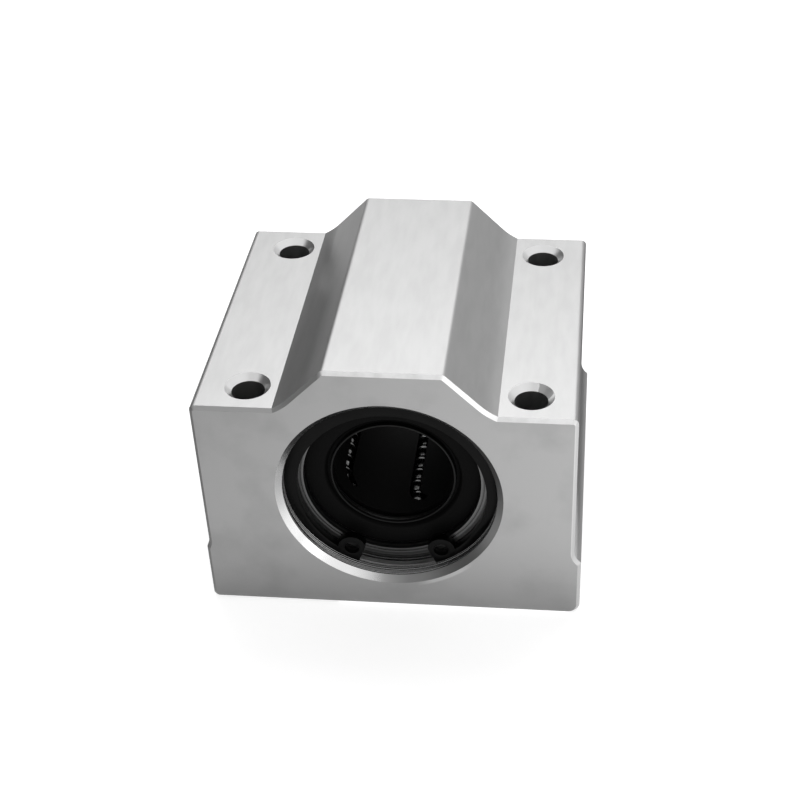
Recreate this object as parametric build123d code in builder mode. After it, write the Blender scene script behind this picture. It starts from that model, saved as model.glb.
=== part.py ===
"""Linear bearing block for a 16 mm shaft.

An extruded aluminium housing holds a closed linear ball bearing between two circlips.
X is across the block, Y runs along the shaft with the shown end at -Y, Z is up.
The origin is the middle of the flat mounting face. Sizes are in millimetres.
"""

import os
from math import acos, cos, degrees, pi, radians, sin, sqrt, tan

from build123d import *

# The bearing and how deep it lies inside both ends of the housing set the housing's length
shaft_diameter = 16.0
bearing_diameter = 28.0
bearing_length = 37.0
end_recess = 3.5
block_length = bearing_length + 2 * end_recess

# Housing outline, as an end view
block_width = 50.0
block_height = 38.5
shoulder_height = 32.5
shaft_height = 19.0
hump_width = 15.0
hump_slope = 45.0
hump_corner_radius = 0.8
valley_radius = 8.0
valley_exit_slope = 26.5
shoulder_corner_radius = 0.7
right_relief = 0.95
left_relief = 0.4
ledge_height = 9.0
ledge_radius = 2.4
right_foot_radius = 1.6
left_foot_radius = 0.8
end_bevel = 0.45

# Screw holes: clear for a smaller screw from above, tapped from below
hole_spacing_x = 36.0
hole_spacing_y = 34.0
through_diameter = 4.3
through_mouth_diameter = 5.9
thread_diameter = 5.0
thread_mouth_diameter = 5.6
thread_depth = 12.0

# Bearing seat and outer sleeve
bearing_fit = 0.02
bore_chamfer = 0.8
sleeve_edge = 0.4
sleeve_groove_span = 26.5
sleeve_groove_width = 1.6
sleeve_groove_diameter = 27.0

# Circlips and their grooves
ring_groove_width = 1.3
ring_groove_diameter = 29.4
ring_thickness = 1.2
ring_fit = 0.05
ring_beam_middle = 3.1
ring_beam_side = 2.2
lug_hole_diameter = 2.0
lug_wall = 0.85
lug_pitch_diameter = 24.6
lug_angle = 29.4
gap_angle = 21.9
ring_turn = 1.5
tip_radius = 21.0
tip_lift = 7.2

# Ball circuits: flat loops that touch the ball pitch circle along their loaded rows
ball_diameter = 2.381
circuits = 5
first_row_angle = 67.0
turn_balls = 3
turn_gap = 0.059
track_clearance = 0.08
land_clearance = 0.03
land_width = 3.0
return_clearance = 0.1
cage_end_wall = 1.0

# Cage and seals
cage_bore_clearance = 0.2
cage_fit = 0.1
seal_thickness = 1.95
seal_recess = 1.2
seal_fit = 0.02
lip_length = 0.6
lip_wall = 0.3
lip_groove_diameter = 18.2
lip_groove_depth = 0.8
lip_flare = 0.6

# Places that follow from the sizes
hump_foot_z = shoulder_height + valley_radius * (
    cos(radians(valley_exit_slope)) - cos(radians(hump_slope))
)
hump_foot_x = hump_width / 2 + (block_height - hump_foot_z) / tan(radians(hump_slope))
bore_radius = bearing_diameter / 2
sleeve_end = bearing_length / 2

ball_radius = ball_diameter / 2
loaded_radius = shaft_diameter / 2 + ball_radius
turn_radius = ball_diameter + turn_gap
ball_pitch = pi * turn_radius / turn_balls
return_radius = sqrt(loaded_radius**2 + (2 * turn_radius) ** 2)
track_radius = ball_radius + track_clearance
land_radius = loaded_radius + ball_radius + land_clearance
relief_radius = return_radius + ball_radius + return_clearance
relief_depth = relief_radius - land_radius

seal_face = sleeve_end - seal_recess
seal_back = seal_face - seal_thickness
cage_end = seal_back - cage_fit
cage_bore_radius = shaft_diameter / 2 + cage_bore_clearance
cage_radius = relief_radius - cage_fit
row_room = 2 * (cage_end - cage_end_wall - track_radius - turn_radius)
row_balls = int(row_room / ball_pitch)
row_half = row_balls * ball_pitch / 2
circuit_angles = [first_row_angle + 360 / circuits * n for n in range(circuits)]

# The end view plane faces the shown end, with its middle on the shaft's centre line
end_view = Plane(origin=(0, 0, shaft_height), x_dir=(1, 0, 0), z_dir=(0, -1, 0))
side_view = Plane(origin=(0, 0, shaft_height), x_dir=(0, 1, 0), z_dir=(1, 0, 0))
shaft_axis = Axis((0, 0, shaft_height), (0, 1, 0))


def save(part, name):
    """Label a finished piece and write it to its own file."""
    part.label = name
    export_step(part, f"parts/{name}.step")


def loop_plane(angle):
    """The flat plane of one ball loop: local x runs along the shaft, local y towards the return row."""
    outward = Vector(cos(radians(angle)), 0, sin(radians(angle)))
    middle = Vector(0, 0, shaft_height) + outward * loaded_radius
    return Plane(origin=middle, x_dir=(0, 1, 0), z_dir=outward)


# Housing: extruded profile, bevelled at both milled ends, bored through and drilled
with BuildPart() as block:
    with BuildSketch(Plane.XZ) as profile:
        for side_sign, relief in ((1, right_relief), (-1, left_relief)):
            side_x = side_sign * (block_width / 2 - relief)
            ledge_turn = degrees(acos(1 - relief / ledge_radius))
            ledge_rise = ledge_radius * sin(radians(ledge_turn))
            valley_turn = hump_slope - valley_exit_slope
            with BuildLine():
                crown = Line((0, block_height), (side_sign * hump_width / 2, block_height))
                slope = Line(crown @ 1, (side_sign * hump_foot_x, hump_foot_z))
                valley = JernArc(slope @ 1, slope % 1, valley_radius, side_sign * valley_turn)
                shoulder = Line(valley @ 1, (side_x, shoulder_height))
                side = Line(shoulder @ 1, (side_x, ledge_height + ledge_rise))
                ledge = JernArc(side @ 1, side % 1, ledge_radius, side_sign * ledge_turn)
                datum = Line(ledge @ 1, (side_sign * block_width / 2, 0))
                base = Line(datum @ 1, (0, 0))
                Line(base @ 1, crown @ 0)
            make_face()
        corners = profile.vertices().filter_by(lambda v: abs(v.X) > hump_width / 4)
        fillet(corners.group_by(Axis.Y)[-1], hump_corner_radius)
        corners = profile.vertices().filter_by(lambda v: abs(v.X) > hole_spacing_x / 2)
        fillet(corners.group_by(Axis.Y)[-1], shoulder_corner_radius)
        for side_sign, foot_radius in ((1, right_foot_radius), (-1, left_foot_radius)):
            corners = profile.vertices().filter_by(lambda v: side_sign * v.X > hole_spacing_x / 2)
            fillet(corners.group_by(Axis.Y)[0], foot_radius)
    extrude(amount=block_length / 2 - end_bevel, both=True)
    for end_sign in (-1, 1):
        with BuildSketch(Plane.XZ.offset(end_sign * (block_length / 2 - end_bevel))):
            add(profile.sketch_local)
        with BuildSketch(Plane.XZ.offset(end_sign * block_length / 2)):
            add(profile.sketch_local)
            offset(amount=-end_bevel, kind=Kind.INTERSECTION, mode=Mode.REPLACE)
        loft(ruled=True)

    with BuildSketch(end_view):
        Circle(bore_radius)
    extrude(amount=block_length, both=True, mode=Mode.SUBTRACT)
    mouths = block.edges().filter_by(GeomType.CIRCLE).filter_by(
        lambda e: abs(e.radius - bore_radius) < bore_chamfer / 2
    )
    chamfer(mouths, bore_chamfer)
    for end_sign in (-1, 1):
        with BuildSketch(end_view.offset(end_sign * (sleeve_end + ring_groove_width / 2))):
            Circle(ring_groove_diameter / 2)
        extrude(amount=ring_groove_width / 2, both=True, mode=Mode.SUBTRACT)

    with Locations(Plane.XY.offset(shoulder_height)):
        with GridLocations(hole_spacing_x, hole_spacing_y, 2, 2):
            CounterSinkHole(
                radius=through_diameter / 2,
                counter_sink_radius=through_mouth_diameter / 2,
                depth=shoulder_height,
                counter_sink_angle=90,
            )
    with Locations(-Plane.XY):
        with GridLocations(hole_spacing_x, hole_spacing_y, 2, 2):
            CounterSinkHole(
                radius=thread_diameter / 2,
                counter_sink_radius=thread_mouth_diameter / 2,
                depth=thread_depth,
                counter_sink_angle=90,
            )
save(block.part, "block")


def circlip(name, face_sign):
    """A stamped internal ring with its gap and lugs at the bottom, in the groove at one end."""
    ring_radius = ring_groove_diameter / 2 - ring_fit
    lug_radius = lug_pitch_diameter / 2
    lug_places = [
        (sign * lug_radius * sin(radians(lug_angle)), -lug_radius * cos(radians(lug_angle)))
        for sign in (-1, 1)
    ]
    reach = ring_groove_diameter
    gap_half = reach * tan(radians(gap_angle))
    ring_plane = Plane(
        origin=(0, -face_sign * (sleeve_end + ring_groove_width / 2), shaft_height),
        x_dir=(cos(radians(ring_turn)), 0, sin(radians(ring_turn))),
        z_dir=(0, -1, 0),
    )
    with BuildPart() as ring:
        with BuildSketch(ring_plane):
            Circle(ring_radius)
            with Locations((0, ring_beam_side - ring_beam_middle)):
                Circle(ring_radius - ring_beam_side, mode=Mode.SUBTRACT)
            with Locations(*lug_places):
                Circle(lug_hole_diameter / 2 + lug_wall)
            with BuildLine():
                Polyline((0, 0), (gap_half, -reach), (-gap_half, -reach), close=True)
            make_face(mode=Mode.SUBTRACT)
            with Locations((0, tip_lift)):
                Circle(tip_radius, mode=Mode.INTERSECT)
            with Locations(*lug_places):
                Circle(lug_hole_diameter / 2, mode=Mode.SUBTRACT)
        extrude(amount=ring_thickness / 2, both=True)
    save(ring.part, name)


circlip("front_circlip", 1)
circlip("rear_circlip", -1)

# Sleeve: turned with a raised waist inside, broached between the five raceway lands
with BuildPart() as sleeve:
    with BuildSketch(side_view):
        with BuildLine():
            Polyline(
                (-sleeve_end, relief_radius),
                (-row_half - relief_depth, relief_radius),
                (-row_half, land_radius),
                (row_half, land_radius),
                (row_half + relief_depth, relief_radius),
                (sleeve_end, relief_radius),
                (sleeve_end, bore_radius - bearing_fit - sleeve_edge),
                (sleeve_end - sleeve_edge, bore_radius - bearing_fit),
                (-sleeve_end + sleeve_edge, bore_radius - bearing_fit),
                (-sleeve_end, bore_radius - bearing_fit - sleeve_edge),
                close=True,
            )
        make_face()
        groove_depth = bearing_diameter / 2 - sleeve_groove_diameter / 2
        groove_place = sleeve_groove_span / 2 - sleeve_groove_width / 2
        with Locations((-groove_place, bore_radius), (groove_place, bore_radius)):
            Rectangle(sleeve_groove_width, 2 * groove_depth, mode=Mode.SUBTRACT)
    revolve(axis=shaft_axis)
    with BuildSketch(end_view):
        Circle(relief_radius)
        with PolarLocations(relief_radius, circuits, start_angle=first_row_angle):
            Rectangle(2 * relief_depth + 2 * land_clearance, land_width, mode=Mode.SUBTRACT)
    extrude(amount=sleeve_end, both=True, mode=Mode.SUBTRACT)
save(sleeve.part, "outer_sleeve")

# The space that one ball loop needs: a round-bottomed track, open outwards to the sleeve
with BuildPart() as track:
    with BuildSketch(loop_plane(0)):
        with Locations((0, turn_radius)):
            SlotCenterToCenter(2 * row_half, 2 * (turn_radius + track_radius))
            SlotCenterToCenter(2 * row_half, 2 * (turn_radius - track_radius), mode=Mode.SUBTRACT)
    extrude(amount=bore_radius - loaded_radius)
    with BuildLine(loop_plane(0)) as loop:
        loaded_line = Line((-row_half, 0), (row_half, 0))
        rear_bend = JernArc(loaded_line @ 1, (1, 0), turn_radius, 180)
        return_line = Line(rear_bend @ 1, (-row_half, 2 * turn_radius))
        JernArc(return_line @ 1, (-1, 0), turn_radius, 180)
    with BuildSketch(Plane(origin=loop.wire() @ 0, z_dir=loop.wire() % 0)):
        Circle(track_radius)
    sweep(path=loop.wire())

# Cage: moulded tube with a groove over each raceway land and five closed ball tracks
with BuildPart() as cage:
    with BuildSketch(end_view):
        Circle(cage_radius)
        Circle(cage_bore_radius, mode=Mode.SUBTRACT)
        with PolarLocations(cage_radius, circuits, start_angle=first_row_angle):
            Rectangle(
                2 * (cage_radius - land_radius + cage_fit),
                land_width + 2 * cage_fit,
                mode=Mode.SUBTRACT,
            )
    extrude(amount=cage_end, both=True)
    for angle in circuit_angles:
        add(track.part.rotate(shaft_axis, -angle), mode=Mode.SUBTRACT)
save(cage.part, "ball_cage")


def seal(name, face_sign):
    """A pressed-in rubber seal: flat face, a groove, and a lip that points outwards and wipes the shaft."""
    lip_radius = shaft_diameter / 2
    face = -face_sign * seal_face
    back = -face_sign * seal_back
    groove_floor = face + face_sign * lip_groove_depth
    lip_back = face + face_sign * lip_length
    with BuildPart() as ring:
        with BuildSketch(side_view):
            with BuildLine():
                Polyline(
                    (back, relief_radius - seal_fit),
                    (face, relief_radius - seal_fit),
                    (face, lip_groove_diameter / 2),
                    (groove_floor, lip_groove_diameter / 2 - lip_wall),
                    (groove_floor, lip_radius + lip_wall),
                    (face, lip_radius + lip_wall),
                    (face, lip_radius),
                    (lip_back, lip_radius),
                    (back, lip_radius + lip_flare),
                    close=True,
                )
            make_face()
        revolve(axis=shaft_axis)
    save(ring.part, name)


seal("front_seal", 1)
seal("rear_seal", -1)


def balls(name, plane, places):
    """One group of balls that moves as a whole, at local places on its loop's plane."""
    with BuildPart(plane) as group:
        with Locations(*places):
            Sphere(ball_radius)
    save(group.part, name)


# Ball circuits: the loaded row carries the shaft, the other three groups bring its balls back
row_places = [(n + 0.5) * ball_pitch - row_half for n in range(row_balls)]
turn_angles = [radians(180 * (n + 0.5) / turn_balls) for n in range(turn_balls)]
for number, angle in enumerate(circuit_angles, start=1):
    loop_face = loop_plane(angle)
    loaded_places = [(place, 0) for place in row_places]
    return_places = [(place, 2 * turn_radius) for place in row_places]
    rear_places = [
        (row_half + turn_radius * sin(a), turn_radius * (1 - cos(a))) for a in turn_angles
    ]
    front_places = [(-along, across) for along, across in rear_places]
    balls(f"loaded_row_{number}", loop_face, loaded_places)
    balls(f"return_row_{number}", loop_face, return_places)
    balls(f"front_turn_{number}", loop_face, front_places)
    balls(f"rear_turn_{number}", loop_face, rear_places)
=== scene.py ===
import math

import bmesh
import bpy
from mathutils import Matrix, Vector


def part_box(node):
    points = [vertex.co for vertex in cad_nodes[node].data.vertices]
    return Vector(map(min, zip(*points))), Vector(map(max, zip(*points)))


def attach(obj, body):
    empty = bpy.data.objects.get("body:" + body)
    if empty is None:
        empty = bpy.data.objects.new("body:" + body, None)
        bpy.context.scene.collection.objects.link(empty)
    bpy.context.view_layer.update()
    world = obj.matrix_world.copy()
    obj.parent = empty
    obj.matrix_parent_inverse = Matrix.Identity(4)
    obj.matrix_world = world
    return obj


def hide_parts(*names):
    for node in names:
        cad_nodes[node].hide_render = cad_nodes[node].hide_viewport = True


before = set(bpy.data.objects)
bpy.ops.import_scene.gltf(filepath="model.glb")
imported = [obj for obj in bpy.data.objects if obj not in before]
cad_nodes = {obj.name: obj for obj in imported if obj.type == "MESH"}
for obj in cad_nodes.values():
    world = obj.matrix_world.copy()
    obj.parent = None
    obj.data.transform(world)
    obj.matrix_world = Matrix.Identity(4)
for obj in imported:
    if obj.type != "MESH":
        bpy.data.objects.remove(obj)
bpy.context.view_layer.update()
scene = bpy.context.scene


# Camera
# The block stands on its base with its shown end turned a little to the left, seen from above at
# about 37 degrees through a short telephoto lens, and tipped slightly, as it was photographed.
IMAGE_PIXELS = 786
SENSOR_WIDTH = 36.0
CAMERA_AZIMUTH = math.radians(5.69)
CAMERA_ELEVATION = math.radians(37.13)
CAMERA_ROLL = math.radians(-1.26)
CAMERA_AIM = Vector((0.00721, 0.00051, 0.015))
CAMERA_DISTANCE = 0.2141
FOCAL_PIXELS = 1512.0
LENS_CENTRE = (460.0, 420.0)
CLIP_RANGE = (0.01, 10.0)

camera_data = bpy.data.cameras.new("photo_camera")
camera = bpy.data.objects.new("photo_camera", camera_data)
scene.collection.objects.link(camera)
scene.camera = camera
backward = Vector((
    math.sin(CAMERA_AZIMUTH) * math.cos(CAMERA_ELEVATION),
    -math.cos(CAMERA_AZIMUTH) * math.cos(CAMERA_ELEVATION),
    math.sin(CAMERA_ELEVATION),
))
level_right = Vector((0, 0, 1)).cross(backward).normalized()
level_up = backward.cross(level_right)
right = level_right * math.cos(CAMERA_ROLL) + level_up * math.sin(CAMERA_ROLL)
up = level_up * math.cos(CAMERA_ROLL) - level_right * math.sin(CAMERA_ROLL)
camera_turn = Matrix((right, up, backward)).transposed().to_4x4()
camera.matrix_world = Matrix.Translation(CAMERA_AIM + backward * CAMERA_DISTANCE) @ camera_turn
camera_data.sensor_width = SENSOR_WIDTH
camera_data.lens = FOCAL_PIXELS / IMAGE_PIXELS * SENSOR_WIDTH
camera_data.shift_x = (IMAGE_PIXELS / 2 - LENS_CENTRE[0]) / IMAGE_PIXELS
camera_data.shift_y = (LENS_CENTRE[1] - IMAGE_PIXELS / 2) / IMAGE_PIXELS
camera_data.clip_start, camera_data.clip_end = CLIP_RANGE


# Studio
# A white table in a white room. One large softbox hangs behind the block, a narrow one stands at
# its right, and dark and grey cards, seen only in reflections, shade the sides of the metal.
ROOM_LEVEL = 0.5
TABLE_COLOUR = "E6E6E6"
TABLE_GLOW = 0.62
TABLE_HALF = 3.0
TABLE_DROP = 0.00002
LIT_POINT = Vector((0, 0, 0.02))
SOFTBOXES = {
    "back_softbox": {"place": (0.015, 0.32, 0.50), "width": 0.46, "height": 0.40, "level": 2.4},
    "right_softbox": {"place": (0.36, -0.225, 0.17), "width": 0.10, "height": 0.20, "level": 2.6},
}
# Each card is square to an axis, at a level on it, with its spans along the two other axes and its glow
CARDS = {
    "left_card": ("X", -0.16, (-0.22, 0.30), (0.0, 0.16), 0.1),
    "left_floor_card": ("Z", 0.0015, (-0.25, -0.045), (-0.20, -0.01), 0.3),
    "upper_card": ("Z", 0.40, (-0.50, 0.035), (-0.62, -0.34), 0.1),
    "rear_card": ("Z", 0.001, (-0.045, 0.30), (0.03, 0.50), 0.22),
    "right_card": ("Z", 0.001, (0.026, 0.30), (0.004, 0.03), 0.22),
    "right_rear_card": ("Y", 0.45, (0.12, 0.60), (0.0, 0.28), 0.72),
}
FRONT_CARD = ((-0.25, 0.05), (-0.25, -0.0222))
SHADE_ACROSS = {"From Min": -0.035, "From Max": 0.015, "To Min": 0.66, "To Max": 0.93}
SHADE_AHEAD = {"From Min": -0.023, "From Max": -0.036, "To Min": 0.55, "To Max": 1.0}
SHADE_FAR = {"From Min": -0.048, "From Max": -0.072, "To Min": 1.0, "To Max": 0.88}
LEFT_EDGE_CARD = ((-0.10, -0.0256), (-0.022, 0.03))


def linear(hex_colour):
    """An sRGB hex colour as linear red, green and blue, with full alpha."""
    channels = [int(hex_colour[i:i + 2], 16) / 255 for i in (0, 2, 4)]
    return [c / 12.92 if c <= 0.04045 else ((c + 0.055) / 1.055) ** 2.4 for c in channels] + [1.0]


def add_node(tree, kind, inputs=None, **settings):
    """Add a node with its settings. Each input is a value, or another node's output to link."""
    made = tree.nodes.new(kind)
    for name, value in settings.items():
        setattr(made, name, value)
    for socket, value in (inputs or {}).items():
        if isinstance(value, bpy.types.NodeSocket):
            tree.links.new(value, made.inputs[socket])
        else:
            made.inputs[socket].default_value = value
    return made


def seen_share(tree):
    """1 for what the camera sees, straight, in metal or through glass, and 0 for bounced light."""
    rays = add_node(tree, "ShaderNodeLightPath").outputs
    seen = rays["Is Camera Ray"]
    for ray in ("Is Glossy Ray", "Is Transmission Ray"):
        seen = add_node(tree, "ShaderNodeMath", {0: seen, 1: rays[ray]}, operation="MAXIMUM").outputs[0]
    return seen


def new_material(name):
    """A material and its node tree, which is still empty."""
    material = bpy.data.materials.new(name)
    material.use_nodes = True
    material.node_tree.nodes.clear()
    return material, material.node_tree


def stage_sheet(name, corners, material):
    """A flat sheet of the set, which isn't part of the object."""
    mesh = bpy.data.meshes.new(name)
    mesh.from_pydata([Vector(c) for c in corners], [], [range(len(corners))])
    mesh.materials.append(material)
    sheet = bpy.data.objects.new(name, mesh)
    scene.collection.objects.link(sheet)
    return sheet


scene.view_settings.view_transform = "Standard"
world = bpy.data.worlds.new("white_room")
scene.world = world
world.use_nodes = True
world_tree = world.node_tree
world_tree.nodes.clear()
room_level = add_node(
    world_tree, "ShaderNodeMapRange", {"Value": seen_share(world_tree), "To Min": ROOM_LEVEL}
).outputs[0]
room = add_node(world_tree, "ShaderNodeBackground", {"Color": linear("FFFFFF"), "Strength": room_level})
add_node(world_tree, "ShaderNodeOutputWorld", {"Surface": room.outputs[0]})


def glowing_sheet(tree, colour, glow):
    """A matt sheet that also glows by itself."""
    lit = add_node(tree, "ShaderNodeBsdfDiffuse", {"Color": colour})
    glowing = add_node(tree, "ShaderNodeEmission", {"Strength": glow})
    both = add_node(tree, "ShaderNodeAddShader", {0: lit.outputs[0], 1: glowing.outputs[0]})
    add_node(tree, "ShaderNodeOutputMaterial", {"Surface": both.outputs[0]})


# Matt white laminate. Its glow, which the lens and reflections show but which lights nothing, takes
# it to the backdrop's white
table_material, tree = new_material("white_laminate")
table_glow = add_node(
    tree, "ShaderNodeMath", {0: seen_share(tree), 1: TABLE_GLOW}, operation="MULTIPLY"
).outputs[0]
glowing_sheet(tree, linear(TABLE_COLOUR), table_glow)
table_corners = [
    (x * TABLE_HALF, y * TABLE_HALF, -TABLE_DROP) for x, y in ((-1, -1), (1, -1), (1, 1), (-1, 1))
]
stage_sheet("table", table_corners, table_material)

# What the block's front face mirrors of the table darkens towards its foot, to its left and far ahead
shaded_card, tree = new_material("shaded_card")
card_place = add_node(tree, "ShaderNodeTexCoord").outputs["Object"]
card_parts = add_node(tree, "ShaderNodeSeparateXYZ", {0: card_place}).outputs
shade = 1.0
for direction, shading in ((0, SHADE_ACROSS), (1, SHADE_AHEAD), (1, SHADE_FAR)):
    falloff = add_node(tree, "ShaderNodeMapRange", {"Value": card_parts[direction], **shading}).outputs[0]
    shade = add_node(tree, "ShaderNodeMath", {0: shade, 1: falloff}, operation="MULTIPLY").outputs[0]
shaded_colour = add_node(
    tree, "ShaderNodeMix", {0: shade, 6: linear("000000"), 7: linear(TABLE_COLOUR)}, data_type="RGBA"
).outputs[2]
shaded_glow = add_node(tree, "ShaderNodeMath", {0: shade, 1: TABLE_GLOW}, operation="MULTIPLY").outputs[0]
glowing_sheet(tree, shaded_colour, shaded_glow)


def reflected_card(name, axis, level, across, along, material):
    """A flat card that only reflections show: square to an axis at a level, with its two spans."""
    outline = [(across[0], along[0]), (across[1], along[0]), (across[1], along[1]), (across[0], along[1])]
    place = "XYZ".index(axis)
    corners = [(*spans[:place], level, *spans[place:]) for spans in outline]
    card = stage_sheet(name, corners, material)
    card.visible_camera = False
    card.visible_diffuse = False
    card.visible_shadow = False
    card.visible_transmission = False


for name, (axis, level, across, along, brightness) in CARDS.items():
    card_paint, tree = new_material(f"{name}_paint")
    glowing = add_node(tree, "ShaderNodeEmission", {"Strength": brightness})
    add_node(tree, "ShaderNodeOutputMaterial", {"Surface": glowing.outputs[0]})
    reflected_card(name, axis, level, across, along, card_paint)
reflected_card("front_card", "Z", 0.0, *FRONT_CARD, shaded_card)
reflected_card("left_edge_card", "Z", 0.0, *LEFT_EDGE_CARD, shaded_card)

for name, box in SOFTBOXES.items():
    lamp_data = bpy.data.lights.new(name, "AREA")
    lamp_data.shape = "RECTANGLE"
    lamp_data.size = box["width"]
    lamp_data.size_y = box["height"]
    lamp_data.energy = math.pi * box["width"] * box["height"] * box["level"]
    lamp = bpy.data.objects.new(name, lamp_data)
    scene.collection.objects.link(lamp)
    lamp.location = box["place"]
    lamp.rotation_euler = (LIT_POINT - lamp.location).to_track_quat("-Z", "Y").to_euler()
    lamp.visible_camera = False


# Block
# The housing is one length of extruded aluminium, etched and clear anodised, then milled on its ends
# and base, bored, grooved, drilled and tapped. It is one CAD node, so its material tells the cuts
# from the extruded faces by where they are and which way they look.
MM = 1000.0
SHAFT_HEIGHT_MM = 19.0
HOLE_FROM_MIDDLE_MM = (18.0, 17.0)
HOLE_MOUTH_RADIUS_MM = 3.1
HOLE_WALL_RADIUS_MM = 2.7
BORE_WALL_RADIUS_MM = 14.95
CHAMFER_RADIUS_MM = 15.2
LOOKS_ENDWARD = {"From Min": 0.85, "From Max": 0.95}
LOOKS_TILTED = {"From Min": 0.5, "From Max": 0.6}
LOOKS_DOWN = {"From Min": -0.95, "From Max": -0.99}
FLAT_LIMIT = 0.95
UPRIGHT_LIMIT = 0.4

EXTRUDED_COLOURS = ("A4A4A4", "A9A9A9")
EXTRUDED_ROUGHNESS = (0.39, 0.41)
MILLED = ("B4B4B4", 0.42)
HANDLED = ("989898", 0.46)
RUBBED = ("CCCCCC", 0.36)
FILED = ("F0F0F0", 0.5)
# File wear on the bevels and the painted shade on their left side share this colour
WORN_AND_SHADED_BEVEL = ("A8A8A8", 0.6)
CHAMFER = ("E6E6E6", 0.2)
# Painted shade on the right of the bore's chamfer
SHADED_CHAMFER = ("9A9A9A", 0.34)
COUNTERSUNK = ("DCDCDC", 0.28)
TORN = ("A8A8A8", 0.4)
TURNED = ("8D8D8D", 0.26)
BRIGHT_RING = ("D8D8D8", 0.3)
DRILLED = ("B4B4B4", 0.35)

MOTTLE_MM = 1.3
MOTTLE_DRAW = 0.22
MOTTLE_CONTRAST = {"From Min": 0.35, "From Max": 0.65}
HANDLED_MM = 7.0
HANDLED_PATCHES = {"From Min": 0.5, "From Max": 0.7, "To Max": 0.35}
WEAR_MM = 2.4
WEAR_PATCHES = {"From Min": 0.45, "From Max": 0.65, "To Max": 0.2}
# Painted shade on the bevels towards the left, bevels darker towards the right, and painted shade on the
# chamfer's right
BEVEL_SHADE_LEFT = {"From Min": -7.3, "From Max": -8.0, "To Max": 1.0}
BEVEL_DARKENING_RIGHT = {"From Min": 23.2, "From Max": 23.8, "To Max": 0.6}
CHAMFER_SHADE_SPAN = {"From Min": -6.0, "From Max": 2.0}
RING_CONTRAST = {"From Min": 0.5, "From Max": 0.62}
TEAR_PLACE_MM = (19.6, -15.0, 32.1)
TEAR_REACH_MM = 2.6
RUB_PLACE_MM = (7.4, -22.0, 5.4)
RUB_REACH = {"From Min": 4.4, "From Max": 2.2}
RUB_BAND = {"From Min": 15.5, "From Max": 15.25}

DIE_LINE_MM = 0.25
MILL_MARK_MM = 0.3
BASE_MARK_MM = 1.0
TURN_MARK_MM = 0.5
CUT_LENGTH_MM = 40.0
TURN_LENGTH_MM = 100.0
ETCH_GRAIN_MM = 0.35
MARK_DEPTH = 0.000001
TURN_MARK_DEPTHS = 1500.0


def axis_distance(tree, place, middle, across):
    """How far a place is from an axis through a middle point. Across is 1 in the directions that count."""
    from_middle = add_node(tree, "ShaderNodeVectorMath", {0: place, 1: middle}, operation="SUBTRACT")
    flat = add_node(
        tree, "ShaderNodeVectorMath", {0: from_middle.outputs[0], 1: across}, operation="MULTIPLY"
    )
    length = add_node(tree, "ShaderNodeVectorMath", {0: flat.outputs[0]}, operation="LENGTH")
    return length.outputs["Value"]


def dress(node, material):
    """Give a CAD node's object a material in place of its plain one."""
    node.data.materials.clear()
    node.data.materials.append(material)


# Etching and a clear anodic film give the extruded faces a soft, even sheen. Most cuts are brighter,
# and the bored wall is darker and shinier
aluminium, tree = new_material("anodised_aluminium_6063")
place = add_node(tree, "ShaderNodeTexCoord").outputs
place_mm = add_node(
    tree, "ShaderNodeVectorMath", {0: place["Object"], 1: (MM, MM, MM)}, operation="MULTIPLY"
).outputs[0]
across_mm = add_node(tree, "ShaderNodeSeparateXYZ", {0: place_mm}).outputs[0]
folded_mm = add_node(tree, "ShaderNodeVectorMath", {0: place_mm}, operation="ABSOLUTE").outputs[0]
hole_distance = axis_distance(tree, folded_mm, (*HOLE_FROM_MIDDLE_MM, 0), (1, 1, 0))
shaft_distance = axis_distance(tree, place_mm, (0, 0, SHAFT_HEIGHT_MM), (1, 0, 1))
upward = add_node(tree, "ShaderNodeSeparateXYZ", {0: place["Normal"]}).outputs[2]
facing = add_node(tree, "ShaderNodeVectorMath", {0: place["Normal"]}, operation="ABSOLUTE").outputs[0]
facing_parts = add_node(tree, "ShaderNodeSeparateXYZ", {0: facing}).outputs

# Where each finish lies, told by which way the face looks and how far it is from an axis
end_share, tilted_share, base_share = [
    add_node(tree, "ShaderNodeMapRange", {"Value": direction, **looks}).outputs[0]
    for direction, looks in (
        (facing_parts[1], LOOKS_ENDWARD),
        (facing_parts[1], LOOKS_TILTED),
        (upward, LOOKS_DOWN),
    )
]
near_mouth, near_wall, in_bore, near_bore, not_flat, upright = [
    add_node(tree, "ShaderNodeMath", {0: measure, 1: limit}, operation="LESS_THAN").outputs[0]
    for measure, limit in (
        (hole_distance, HOLE_MOUTH_RADIUS_MM),
        (hole_distance, HOLE_WALL_RADIUS_MM),
        (shaft_distance, BORE_WALL_RADIUS_MM),
        (shaft_distance, CHAMFER_RADIUS_MM),
        (facing_parts[2], FLAT_LIMIT),
        (facing_parts[2], UPRIGHT_LIMIT),
    )
]
milled_share = add_node(
    tree, "ShaderNodeMath", {0: end_share, 1: base_share}, operation="MAXIMUM"
).outputs[0]
bevel_share = add_node(
    tree, "ShaderNodeMath", {0: tilted_share, 1: end_share}, operation="SUBTRACT"
).outputs[0]
not_tilted = add_node(tree, "ShaderNodeMath", {0: 1.0, 1: tilted_share}, operation="SUBTRACT").outputs[0]
mouth_share, drilled_share, turned_share, chamfer_share = [
    add_node(tree, "ShaderNodeMath", {0: where, 1: which_way}, operation="MULTIPLY").outputs[0]
    for where, which_way in (
        (near_mouth, not_flat),
        (near_wall, upright),
        (in_bore, not_tilted),
        (near_bore, bevel_share),
    )
]
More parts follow.
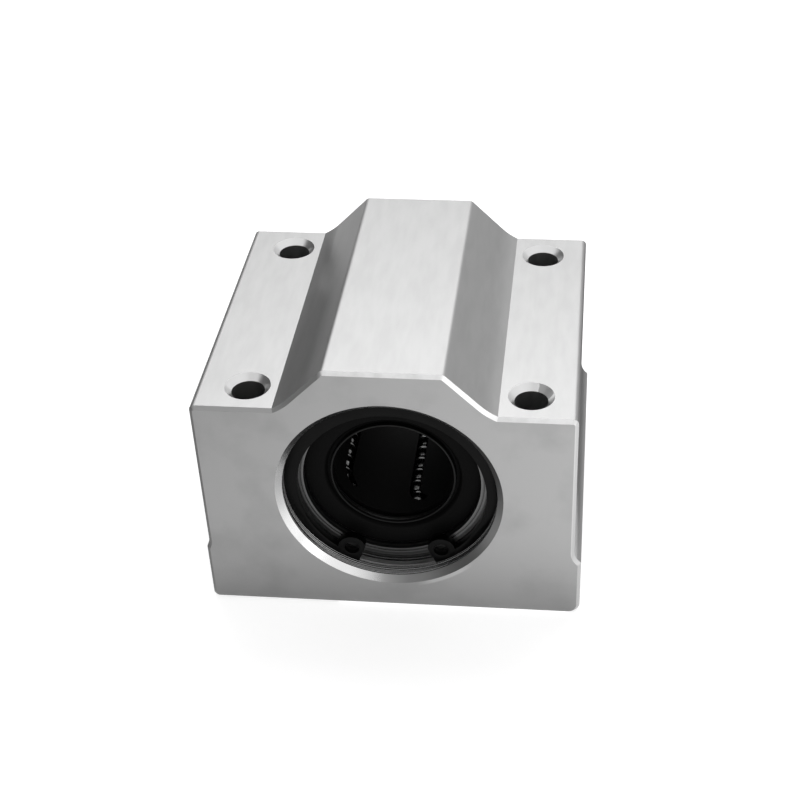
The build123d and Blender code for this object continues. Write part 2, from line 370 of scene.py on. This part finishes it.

# The file that broke the bevels left them a little patchy. Painted shade darkens the bevels towards the
# left side, and they are darker towards the right side too. The chamfer round the bore is bright on its
# left, with painted shade on its right
wear = add_node(
    tree, "ShaderNodeTexNoise", {"Vector": place_mm, "Scale": 1 / WEAR_MM, "Detail": 3.0}
).outputs[0]
wear_and_shade = add_node(tree, "ShaderNodeMapRange", {"Value": wear, **WEAR_PATCHES}).outputs[0]
for side in (BEVEL_SHADE_LEFT, BEVEL_DARKENING_RIGHT):
    side_darkening = add_node(tree, "ShaderNodeMapRange", {"Value": across_mm, **side}).outputs[0]
    wear_and_shade = add_node(tree, "ShaderNodeMath", {0: wear_and_shade, 1: side_darkening}, operation="MAXIMUM").outputs[0]
# Painted shade on the bore's chamfer, growing towards its right
chamfer_shade = add_node(tree, "ShaderNodeMapRange", {"Value": across_mm, **CHAMFER_SHADE_SPAN}).outputs[0]

# Two marks of the tools: a tear on one hole's mouth, and a bright arc that the chamfer tool rubbed
tear_distance, rub_distance = [
    add_node(tree, "ShaderNodeVectorMath", {0: place_mm, 1: mark}, operation="DISTANCE").outputs["Value"]
    for mark in (TEAR_PLACE_MM, RUB_PLACE_MM)
]
tear_reach = add_node(
    tree, "ShaderNodeMath", {0: wear, 1: TEAR_REACH_MM}, operation="MULTIPLY"
).outputs[0]
tear = add_node(
    tree, "ShaderNodeMath", {0: tear_distance, 1: tear_reach}, operation="LESS_THAN"
).outputs[0]
rub_patch = add_node(tree, "ShaderNodeMapRange", {"Value": rub_distance, **RUB_REACH}).outputs[0]
rub_band = add_node(tree, "ShaderNodeMapRange", {"Value": shaft_distance, **RUB_BAND}).outputs[0]
rub = add_node(tree, "ShaderNodeMath", {0: rub_patch, 1: rub_band}, operation="MULTIPLY").outputs[0]

# Die lines along the extrusion, straight lines left by the mill and rings left by the boring bar. The
# real ones and the etch grain are finer than the lens resolves, so they are drawn coarser, to show.
marks = []
for spread in (
    (1 / DIE_LINE_MM, 1 / CUT_LENGTH_MM, 1 / DIE_LINE_MM),
    (1 / CUT_LENGTH_MM, 1 / BASE_MARK_MM, 1 / MILL_MARK_MM),
    (1 / TURN_LENGTH_MM, 1 / TURN_MARK_MM, 1 / TURN_LENGTH_MM),
):
    spread_mm = add_node(
        tree, "ShaderNodeVectorMath", {0: place_mm, 1: spread}, operation="MULTIPLY"
    ).outputs[0]
    marks.append(add_node(
        tree, "ShaderNodeTexNoise", {"Vector": spread_mm, "Scale": 1.0, "Detail": 2.0}
    ).outputs[0])
die_lines, mill_lines, turned_rings = marks
bright_rings = add_node(tree, "ShaderNodeMapRange", {"Value": turned_rings, **RING_CONTRAST}).outputs[0]
handled = add_node(
    tree, "ShaderNodeTexNoise", {"Vector": place_mm, "Scale": 1 / HANDLED_MM, "Detail": 5.0}
).outputs[0]
handled_patches = add_node(tree, "ShaderNodeMapRange", {"Value": handled, **HANDLED_PATCHES}).outputs[0]
handled_share, rubbed_share, wear_and_shade_share, chamfer_shade_share, torn_share, ring_share = [
    add_node(tree, "ShaderNodeMath", {0: mark, 1: face}, operation="MULTIPLY").outputs[0]
    for mark, face in (
        (handled_patches, milled_share),
        (rub, end_share),
        # Patchy file wear with painted shade on the bevels, and painted shade on the right of the bore's
        # chamfer
        (wear_and_shade, bevel_share),
        (chamfer_shade, chamfer_share),
        (tear, mouth_share),
        (bright_rings, turned_share),
    )
]

# The etched faces carry a faint mottle, drawn out along the extrusion, and each cut lies over them
drawn_mm = add_node(
    tree, "ShaderNodeVectorMath", {0: place_mm, 1: (1.0, MOTTLE_DRAW, 1.0)}, operation="MULTIPLY"
).outputs[0]
mottle = add_node(
    tree, "ShaderNodeTexNoise", {"Vector": drawn_mm, "Scale": 1 / MOTTLE_MM, "Detail": 4.0}
).outputs[0]
mottle_share = add_node(tree, "ShaderNodeMapRange", {"Value": mottle, **MOTTLE_CONTRAST}).outputs[0]
colour = add_node(
    tree,
    "ShaderNodeMix",
    {0: mottle_share, 6: linear(EXTRUDED_COLOURS[0]), 7: linear(EXTRUDED_COLOURS[1])},
    data_type="RGBA",
).outputs[2]
roughness = add_node(
    tree,
    "ShaderNodeMapRange",
    {"Value": mottle, "To Min": EXTRUDED_ROUGHNESS[0], "To Max": EXTRUDED_ROUGHNESS[1]},
).outputs[0]
for share, (cut_colour, cut_roughness) in (
    (milled_share, MILLED),
    (handled_share, HANDLED),
    (rubbed_share, RUBBED),
    (bevel_share, FILED),
    # Patchy file wear on the bevels, with painted shade towards their left and darker towards their right
    (wear_and_shade_share, WORN_AND_SHADED_BEVEL),
    (chamfer_share, CHAMFER),
    # Painted shade on the right of the bore's chamfer
    (chamfer_shade_share, SHADED_CHAMFER),
    (mouth_share, COUNTERSUNK),
    (torn_share, TORN),
    (turned_share, TURNED),
    (ring_share, BRIGHT_RING),
    (drilled_share, DRILLED),
):
    colour = add_node(
        tree, "ShaderNodeMix", {0: share, 6: colour, 7: linear(cut_colour)}, data_type="RGBA"
    ).outputs[2]
    roughness = add_node(
        tree, "ShaderNodeMix", {0: share, 2: roughness, 3: cut_roughness}, data_type="FLOAT"
    ).outputs[0]

deep_rings = add_node(
    tree, "ShaderNodeMath", {0: turned_rings, 1: TURN_MARK_DEPTHS}, operation="MULTIPLY"
).outputs[0]
relief = die_lines
for share, cut_marks in ((milled_share, mill_lines), (turned_share, deep_rings)):
    relief = add_node(
        tree, "ShaderNodeMix", {0: share, 2: relief, 3: cut_marks}, data_type="FLOAT"
    ).outputs[0]
grain = add_node(
    tree, "ShaderNodeTexNoise", {"Vector": place_mm, "Scale": 1 / ETCH_GRAIN_MM, "Detail": 3.0}
).outputs[0]
relief = add_node(tree, "ShaderNodeMath", {0: relief, 1: grain}, operation="ADD").outputs[0]
bump = add_node(tree, "ShaderNodeBump", {"Strength": 1.0, "Distance": MARK_DEPTH, "Height": relief})
metal = add_node(
    tree,
    "ShaderNodeBsdfPrincipled",
    {"Base Color": colour, "Metallic": 1.0, "Roughness": roughness, "Normal": bump.outputs[0]},
)
add_node(tree, "ShaderNodeOutputMaterial", {"Surface": metal.outputs[0]})
dress(cad_nodes["block"], aluminium)


# Screw threads
# The lower 12 mm of each corner hole is tapped M5 with a 0.8 mm pitch. The ridges are bare cut
# aluminium, one right-hand helix a hole, and stand on a wall as wide as the thread is outside.
HOLE_SPACING = [2 * half / MM for half in HOLE_FROM_MIDDLE_MM]
THREAD_PITCH = 0.0008
THREAD_FOOT = 0.0004
THREAD_TURNS = 14
RIDGE_ROOT_RADIUS = 0.00252
RIDGE_CREST_RADIUS = 0.00215
RIDGE_ROOT_WIDTH = 0.00072
RIDGE_CREST_WIDTH = 0.00020
POINTS_PER_TURN = 40
PROFILE_TURN = math.radians(90)
TAP_MARK_LENGTH_MM = 2.5
TAP_MARKS_PER_MM = 12.0
TAPPED_COLOURS = ("A7A7A7", "C7C7C7")
TAPPED_ROUGHNESS = (0.22, 0.4)
TAP_MARK_DEPTH = 0.000004


def grained_finish(tree, grain, colours, roughness, depth, finish):
    """Let one grain move a surface's colour, roughness and relief. The finish holds its other inputs."""
    colour = add_node(
        tree, "ShaderNodeMix", {0: grain, 6: linear(colours[0]), 7: linear(colours[1])}, data_type="RGBA"
    ).outputs[2]
    grain_roughness = add_node(
        tree, "ShaderNodeMapRange", {"Value": grain, "To Min": roughness[0], "To Max": roughness[1]}
    ).outputs[0]
    bump = add_node(tree, "ShaderNodeBump", {"Strength": 1.0, "Distance": depth, "Height": grain})
    surface = add_node(
        tree,
        "ShaderNodeBsdfPrincipled",
        {"Base Color": colour, "Roughness": grain_roughness, "Normal": bump.outputs[0], **finish},
    )
    add_node(tree, "ShaderNodeOutputMaterial", {"Surface": surface.outputs[0]})


# The tap leaves bare metal, torn into fine rings that sparkle a little in the dark hole
tapped, tree = new_material("tapped_aluminium_6063")
place = add_node(tree, "ShaderNodeTexCoord").outputs["Object"]
tap_spread = (MM / TAP_MARK_LENGTH_MM, MM / TAP_MARK_LENGTH_MM, MM * TAP_MARKS_PER_MM)
tap_rings = add_node(
    tree, "ShaderNodeVectorMath", {0: place, 1: tap_spread}, operation="MULTIPLY"
).outputs[0]
tears = add_node(
    tree, "ShaderNodeTexNoise", {"Vector": tap_rings, "Scale": 1.0, "Detail": 3.0}
).outputs[0]
grained_finish(tree, tears, TAPPED_COLOURS, TAPPED_ROUGHNESS, TAP_MARK_DEPTH, {"Metallic": 1.0})


def plain_mesh(piece):
    """Give a piece the mesh that its modifiers make of it, and take the modifiers off."""
    evaluated = piece.evaluated_get(bpy.context.evaluated_depsgraph_get())
    made = bpy.data.meshes.new_from_object(evaluated)
    piece.modifiers.clear()
    piece.data = made
    return made


thread_tree = bpy.data.node_groups.new("tapped_threads", "GeometryNodeTree")
thread_sizes = {
    "Pitch": THREAD_PITCH,
    "Turns": THREAD_TURNS,
    "Foot": THREAD_FOOT,
    "Root Radius": RIDGE_ROOT_RADIUS,
    "Crest Radius": RIDGE_CREST_RADIUS,
    "Root Width": RIDGE_ROOT_WIDTH,
    "Crest Width": RIDGE_CREST_WIDTH,
    "Spacing X": HOLE_SPACING[0],
    "Spacing Y": HOLE_SPACING[1],
}
thread_tree.interface.new_socket("Geometry", in_out="OUTPUT", socket_type="NodeSocketGeometry")
thread_sockets = {
    name: thread_tree.interface.new_socket(name, in_out="INPUT", socket_type="NodeSocketFloat").identifier
    for name in thread_sizes
}
size = add_node(thread_tree, "NodeGroupInput").outputs
rise = add_node(
    thread_tree, "ShaderNodeMath", {0: size["Pitch"], 1: size["Turns"]}, operation="MULTIPLY"
).outputs[0]
ridge_height = add_node(
    thread_tree, "ShaderNodeMath", {0: size["Root Radius"], 1: size["Crest Radius"]}, operation="SUBTRACT"
).outputs[0]
both_radii = add_node(
    thread_tree, "ShaderNodeMath", {0: size["Root Radius"], 1: size["Crest Radius"]}, operation="ADD"
).outputs[0]
helix_radius = add_node(
    thread_tree, "ShaderNodeMath", {0: both_radii, 1: 0.5}, operation="MULTIPLY"
).outputs[0]
helix = add_node(
    thread_tree,
    "GeometryNodeCurveSpiral",
    {
        "Resolution": POINTS_PER_TURN,
        "Rotations": size["Turns"],
        "Start Radius": helix_radius,
        "End Radius": helix_radius,
        "Height": rise,
        "Reverse": True,
    },
).outputs[0]
level_helix = add_node(
    thread_tree, "GeometryNodeSetCurveNormal", {"Curve": helix}, mode="Z_UP"
).outputs[0]
ridge_profile = add_node(
    thread_tree,
    "GeometryNodeCurvePrimitiveQuadrilateral",
    {
        "Height": ridge_height,
        "Bottom Width": size["Root Width"],
        "Top Width": size["Crest Width"],
        "Offset": 0.0,
    },
    mode="TRAPEZOID",
).outputs[0]
ridge_profile = add_node(
    thread_tree, "GeometryNodeTransform", {"Geometry": ridge_profile, "Rotation": (0, 0, PROFILE_TURN)}
).outputs[0]
ridge = add_node(
    thread_tree,
    "GeometryNodeCurveToMesh",
    {"Curve": level_helix, "Profile Curve": ridge_profile, "Fill Caps": True},
).outputs[0]
foot_place = add_node(thread_tree, "ShaderNodeCombineXYZ", {"Z": size["Foot"]}).outputs[0]
ridge = add_node(
    thread_tree, "GeometryNodeTransform", {"Geometry": ridge, "Translation": foot_place}
).outputs[0]
hole_places = add_node(
    thread_tree,
    "GeometryNodeMeshGrid",
    {"Size X": size["Spacing X"], "Size Y": size["Spacing Y"], "Vertices X": 2, "Vertices Y": 2},
).outputs[0]
ridges = add_node(
    thread_tree, "GeometryNodeInstanceOnPoints", {"Points": hole_places, "Instance": ridge}
).outputs[0]
ridges = add_node(thread_tree, "GeometryNodeRealizeInstances", {0: ridges}).outputs[0]
ridges = add_node(
    thread_tree, "GeometryNodeSetMaterial", {"Geometry": ridges, "Material": tapped}
).outputs[0]
add_node(thread_tree, "NodeGroupOutput", {0: ridges})

threads = bpy.data.objects.new("screw_threads", bpy.data.meshes.new("screw_threads"))
scene.collection.objects.link(threads)
cutter = threads.modifiers.new("tap", "NODES")
cutter.node_group = thread_tree
for name, value in thread_sizes.items():
    cutter[thread_sockets[name]] = float(value)
plain_mesh(threads)
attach(threads, "housing")


# Circlips
# Each ring is stamped from spring steel strip, hardened, blackened and lightly oiled. It is sprung
# into its groove in the bore with its lugs at the bottom, and holds the bearing in.
MERGE_DISTANCE = 0.000001
RING_EDGE_ROUND = 0.00012
RING_FLATNESS = math.radians(2)
SHARP_EDGE_ANGLE = math.radians(40)
BLACKENED_COLOURS = ("171717", "1F1F1F")
WORN_EDGE_COLOUR = "303030"
FACE_ROUNDING = {"From Min": 0.97, "From Max": 0.85}
WALL_ROUNDING = {"From Min": 0.15, "From Max": 0.4}
OIL_CLOUD_MM = 2.5
OIL_ROUGHNESS = (0.34, 0.5)
PUNCH_GRAIN_MM = 0.12
PUNCH_GRAIN_DEPTH = 0.000002

# The hot oxide is black with a low gloss, clouded by oil, and worn to grey along the punched edges
blackened, tree = new_material("blackened_spring_steel")
place = add_node(tree, "ShaderNodeTexCoord").outputs
place_mm = add_node(
    tree, "ShaderNodeVectorMath", {0: place["Object"], 1: (MM, MM, MM)}, operation="MULTIPLY"
).outputs[0]
facing = add_node(tree, "ShaderNodeVectorMath", {0: place["Normal"]}, operation="ABSOLUTE").outputs[0]
along_shaft = add_node(tree, "ShaderNodeSeparateXYZ", {0: facing}).outputs[1]
clouds = add_node(
    tree, "ShaderNodeTexNoise", {"Vector": place_mm, "Scale": 1 / OIL_CLOUD_MM, "Detail": 4.0}
).outputs[0]
black_colour = add_node(
    tree,
    "ShaderNodeMix",
    {0: clouds, 6: linear(BLACKENED_COLOURS[0]), 7: linear(BLACKENED_COLOURS[1])},
    data_type="RGBA",
).outputs[2]
off_face = add_node(tree, "ShaderNodeMapRange", {"Value": along_shaft, **FACE_ROUNDING}).outputs[0]
off_wall = add_node(tree, "ShaderNodeMapRange", {"Value": along_shaft, **WALL_ROUNDING}).outputs[0]
edge_share = add_node(tree, "ShaderNodeMath", {0: off_face, 1: off_wall}, operation="MULTIPLY").outputs[0]
black_colour = add_node(
    tree, "ShaderNodeMix", {0: edge_share, 6: black_colour, 7: linear(WORN_EDGE_COLOUR)}, data_type="RGBA"
).outputs[2]
oil_roughness = add_node(
    tree, "ShaderNodeMapRange", {"Value": clouds, "To Min": OIL_ROUGHNESS[0], "To Max": OIL_ROUGHNESS[1]}
).outputs[0]
punch_grain = add_node(
    tree, "ShaderNodeTexNoise", {"Vector": place_mm, "Scale": 1 / PUNCH_GRAIN_MM, "Detail": 2.0}
).outputs[0]
bump = add_node(
    tree, "ShaderNodeBump", {"Strength": 1.0, "Distance": PUNCH_GRAIN_DEPTH, "Height": punch_grain}
)
metal = add_node(
    tree,
    "ShaderNodeBsdfPrincipled",
    {"Base Color": black_colour, "Metallic": 1.0, "Roughness": oil_roughness, "Normal": bump.outputs[0]},
)
add_node(tree, "ShaderNodeOutputMaterial", {"Surface": metal.outputs[0]})


def round_edges(piece, width):
    """Round a piece's sharp edges and shade it smooth between what stays sharp."""
    rounding = piece.modifiers.new("edge_round", "BEVEL")
    rounding.width = width
    rounding.segments = 2
    rounding.limit_method = "ANGLE"
    rounding.angle_limit = SHARP_EDGE_ANGLE
    made = plain_mesh(piece)
    made.polygons.foreach_set("use_smooth", [True] * len(made.polygons))
    made.set_sharp_from_angle(angle=SHARP_EDGE_ANGLE)


# A merged copy of each CAD ring stands in for it, with the edges that the punch left rounded
for name in ("front_circlip", "rear_circlip"):
    ring_mesh = bmesh.new()
    ring_mesh.from_mesh(cad_nodes[name].data)
    bmesh.ops.remove_doubles(ring_mesh, verts=ring_mesh.verts, dist=MERGE_DISTANCE)
    bmesh.ops.dissolve_limit(
        ring_mesh, angle_limit=RING_FLATNESS, verts=ring_mesh.verts, edges=ring_mesh.edges
    )
    stamped = bpy.data.meshes.new(f"stamped_{name}")
    ring_mesh.to_mesh(stamped)
    ring_mesh.free()
    stamped.materials.append(blackened)
    ring = bpy.data.objects.new(f"stamped_{name}", stamped)
    scene.collection.objects.link(ring)
    round_edges(ring, RING_EDGE_ROUND)
    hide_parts(name)
    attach(ring, "housing")


# Outer sleeve
# A turned tube of through-hardened bearing steel, ground on the outside and on both end faces. Its
# dull grey rim shows between the circlip and the seal.
GROUND_COLOURS = ("484848", "7C7C7C")
GROUND_ROUGHNESS = (0.24, 0.36)
GRINDING_LINE_MM = 0.35
GRINDING_CONTRAST = {"From Min": 0.35, "From Max": 0.65}
GRINDING_DEPTH = 0.000012

# Grinding leaves rings round the shaft that streak the light. They are drawn coarser than the real ones
ground, tree = new_material("ground_bearing_steel")
place = add_node(tree, "ShaderNodeTexCoord").outputs["Object"]
along_shaft = add_node(tree, "ShaderNodeSeparateXYZ", {0: place}).outputs[1]
radius = axis_distance(tree, place, (0, 0, SHAFT_HEIGHT_MM / MM), (1, 0, 1))
ring_place = add_node(tree, "ShaderNodeCombineXYZ", {0: radius, 1: along_shaft}).outputs[0]
rings = add_node(
    tree, "ShaderNodeTexNoise", {"Vector": ring_place, "Scale": MM / GRINDING_LINE_MM, "Detail": 2.0}
).outputs[0]
grinding = add_node(tree, "ShaderNodeMapRange", {"Value": rings, **GRINDING_CONTRAST}).outputs[0]
grained_finish(tree, grinding, GROUND_COLOURS, GROUND_ROUGHNESS, GRINDING_DEPTH, {"Metallic": 1.0})
dress(cad_nodes["outer_sleeve"], ground)


# Ball cage
# The retainer is one injection moulding in black acetal, slid into the sleeve before the seals go
# in. Its bore is dull and so dark that only the balls show in it.
CAGE_COLOURS = ("060606", "0A0A0A")
CAGE_ROUGHNESS = (0.55, 0.7)
CAGE_FINISH = {"IOR": 1.48, "Specular IOR Level": 0.08}
MOULD_GRAIN_MM = 0.15
MOULD_GRAIN_DEPTH = 0.000004

# Black acetal takes a fine matt grain from the mould, which hardly catches the light
acetal, tree = new_material("black_moulded_acetal")
place = add_node(tree, "ShaderNodeTexCoord").outputs["Object"]
mould_grain = add_node(
    tree, "ShaderNodeTexNoise", {"Vector": place, "Scale": MM / MOULD_GRAIN_MM, "Detail": 3.0}
).outputs[0]
grained_finish(tree, mould_grain, CAGE_COLOURS, CAGE_ROUGHNESS, MOULD_GRAIN_DEPTH, CAGE_FINISH)
dress(cad_nodes["ball_cage"], acetal)


# Seals
# A nitrile rubber ring is pressed into each end of the sleeve. Its outer face is matt from the
# mould, and the thin lip that wipes the shaft is wet with grease, so only the lip shines.
LIP_RADIUS = 0.008
LIP_WALL = 0.0003
LIP_LENGTH = 0.0006
LIP_FLARE = 0.0006
LIP_GROOVE_RADIUS = 0.0091
LIP_GROOVE_DEPTH = 0.0008
SEAL_EDGE_ROUND = 0.00015
SEAL_SEGMENTS = 144
RUBBER_COLOURS = ("080808", "0D0D0D")
RUBBER_IOR = 1.52
RUBBER_GRAIN_MM = 0.2
RUBBER_GRAIN_DEPTH = 0.000004
MOULDED_ROUGHNESS = (0.55, 0.7)
MOULDED_SPECULAR = 0.07
GREASED_ROUGHNESS = (0.28, 0.4)
GREASED_SPECULAR = 0.2

# Nitrile rubber is a soft, dead black as it leaves the mould, and grease gives it a dim wet line
seal_materials = []
for name, skin_roughness, specular in (
    ("moulded_nitrile_rubber", MOULDED_ROUGHNESS, MOULDED_SPECULAR),
    ("greased_nitrile_rubber", GREASED_ROUGHNESS, GREASED_SPECULAR),
):
    rubber, tree = new_material(name)
    place = add_node(tree, "ShaderNodeTexCoord").outputs["Object"]
    skin = add_node(
        tree, "ShaderNodeTexNoise", {"Vector": place, "Scale": MM / RUBBER_GRAIN_MM, "Detail": 3.0}
    ).outputs[0]
    finish = {"IOR": RUBBER_IOR, "Specular IOR Level": specular}
    grained_finish(tree, skin, RUBBER_COLOURS, skin_roughness, RUBBER_GRAIN_DEPTH, finish)
    seal_materials.append(rubber)

# Each seal is turned once more from the CAD one's section, smoother, with its moulded edges rounded
for name, outward in (("front_seal", -1), ("rear_seal", 1)):
    low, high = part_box(name)
    face, back = (low[1], high[1]) if outward < 0 else (high[1], low[1])
    seat_radius = (high[0] - low[0]) / 2
    groove_floor = face - outward * LIP_GROOVE_DEPTH
    # Each point of the section: its place along the shaft, its radius, and whether its wall is greased
    section = [
        (back, seat_radius, 0),
        (face, seat_radius, 0),
        (face, LIP_GROOVE_RADIUS, 0),
        (groove_floor, LIP_GROOVE_RADIUS - LIP_WALL, 0),
        (groove_floor, LIP_RADIUS + LIP_WALL, 1),
        (face, LIP_RADIUS + LIP_WALL, 1),
        (face, LIP_RADIUS, 1),
        (face - outward * LIP_LENGTH, LIP_RADIUS, 0),
        (back, LIP_RADIUS + LIP_FLARE, 0),
    ]
    seal_mesh = bmesh.new()
    rings = []
    for step in range(SEAL_SEGMENTS):
        turn = 2 * math.pi * step / SEAL_SEGMENTS
        rings.append([
            seal_mesh.verts.new((r * math.cos(turn), y, SHAFT_HEIGHT_MM / MM + r * math.sin(turn)))
            for y, r, greased in section
        ])
    for step in range(SEAL_SEGMENTS):
        here, there = rings[step], rings[(step + 1) % SEAL_SEGMENTS]
        for k in range(len(section)):
            after = (k + 1) % len(section)
            wall = seal_mesh.faces.new((here[k], here[after], there[after], there[k]))
            wall.material_index = section[k][2]
    bmesh.ops.recalc_face_normals(seal_mesh, faces=seal_mesh.faces)
    moulded = bpy.data.meshes.new(f"moulded_{name}")
    seal_mesh.to_mesh(moulded)
    seal_mesh.free()
    for rubber in seal_materials:
        moulded.materials.append(rubber)
    seal = bpy.data.objects.new(f"moulded_{name}", moulded)
    scene.collection.objects.link(seal)
    round_edges(seal, SEAL_EDGE_ROUND)
    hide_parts(name)
    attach(seal, "housing")


# Balls
# 110 through-hardened chrome steel balls of 2.381 mm run in five closed loops. They are lapped and
# polished, and a thin film of grease breaks their small highlights.
POLISHED_COLOURS = ("565656", "6A6A6A")
POLISHED_ROUGHNESS = (0.14, 0.26)
GREASE_FILM_MM = 0.8
FILM_CONTRAST = {"From Min": 0.35, "From Max": 0.65}

# Lapped steel mirrors the light as small hard points, which the thin grease softens here and there
polished, tree = new_material("polished_chrome_steel")
place = add_node(tree, "ShaderNodeTexCoord").outputs["Object"]
film = add_node(
    tree, "ShaderNodeTexNoise", {"Vector": place, "Scale": MM / GREASE_FILM_MM, "Detail": 3.0}
).outputs[0]
film_colour = add_node(
    tree,
    "ShaderNodeMix",
    {0: film, 6: linear(POLISHED_COLOURS[0]), 7: linear(POLISHED_COLOURS[1])},
    data_type="RGBA",
).outputs[2]
film_roughness = add_node(
    tree,
    "ShaderNodeMapRange",
    {"Value": film, **FILM_CONTRAST, "To Min": POLISHED_ROUGHNESS[0], "To Max": POLISHED_ROUGHNESS[1]},
).outputs[0]
metal = add_node(
    tree,
    "ShaderNodeBsdfPrincipled",
    {"Base Color": film_colour, "Metallic": 1.0, "Roughness": film_roughness},
)
add_node(tree, "ShaderNodeOutputMaterial", {"Surface": metal.outputs[0]})
for name, group in cad_nodes.items():
    if "_row_" in name or "_turn_" in name:
        dress(group, polished)
